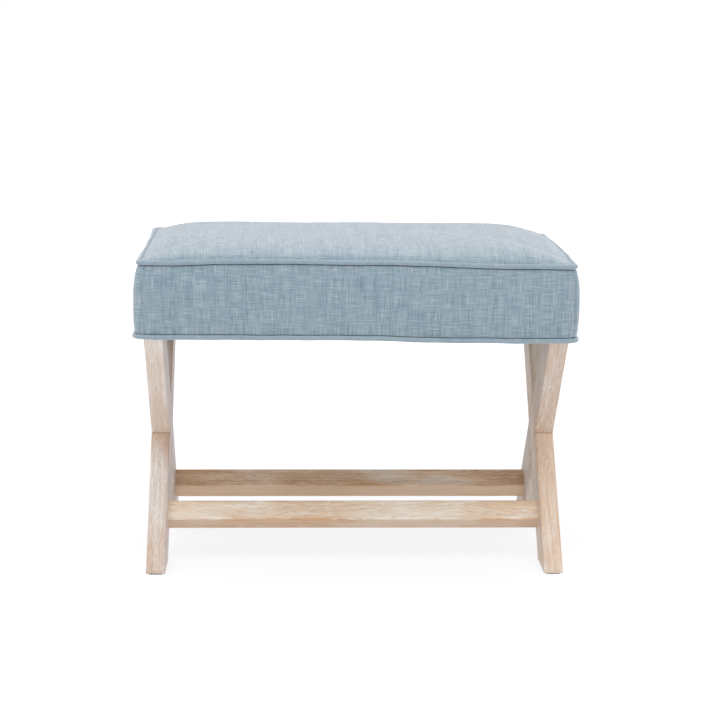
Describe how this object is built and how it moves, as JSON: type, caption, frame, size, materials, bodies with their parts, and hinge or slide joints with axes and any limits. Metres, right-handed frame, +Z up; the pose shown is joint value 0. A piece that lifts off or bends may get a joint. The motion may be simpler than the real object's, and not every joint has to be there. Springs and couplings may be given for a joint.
{
  "type": "ottoman",
  "caption": "Upholstered ottoman with a crowned, piped box seat on crossed wooden side frames joined by two low stretchers.",
  "frame": {"origin": "on the floor, under the middle of the seat", "axes": "+X along the seat's width to the right, +Y from the front to the back, +Z up"},
  "size_m": [0.62, 0.39, 0.4774],
  "materials": {
    "limed_oak": "limed, matt",
    "beech": "bare",
    "pine": "sawn, bare",
    "plywood": "bare",
    "felt": "pressed felt",
    "steel": "zinc plated",
    "foam": "open-cell foam",
    "wadding": "polyester wadding",
    "linen": "slubby plain weave, matt",
    "cotton_cord": "twisted cotton",
    "cambric": "non-woven, matt"
  },
  "bodies": {
    "root": {"left_front_leg": "limed_oak", "left_rear_leg": "limed_oak", "right_front_leg": "limed_oak", "right_rear_leg": "limed_oak", "front_stretcher": "limed_oak", "rear_stretcher": "limed_oak", "stretcher_dowels": "beech", "foot_pads": "felt", "front_rail": "pine", "rear_rail": "pine", "left_rail": "pine", "right_rail": "pine", "centre_rail": "pine", "rail_dowels": "beech", "corner_blocks": "pine", "block_screws": "steel", "leg_screws": "steel", "deck": "plywood", "deck_screws": "steel", "foam_pad": "foam", "top_wadding": "wadding", "side_wadding": "wadding", "top_cover": "linen", "front_band": "linen", "rear_band": "linen", "left_band": "linen", "right_band": "linen", "top_welt": "linen", "top_welt_cord": "cotton_cord", "bottom_welt": "linen", "bottom_welt_cord": "cotton_cord", "dust_cover": "cambric", "cover_staples": "steel", "dust_cover_staples": "steel"}
  },
  "joints": []
}
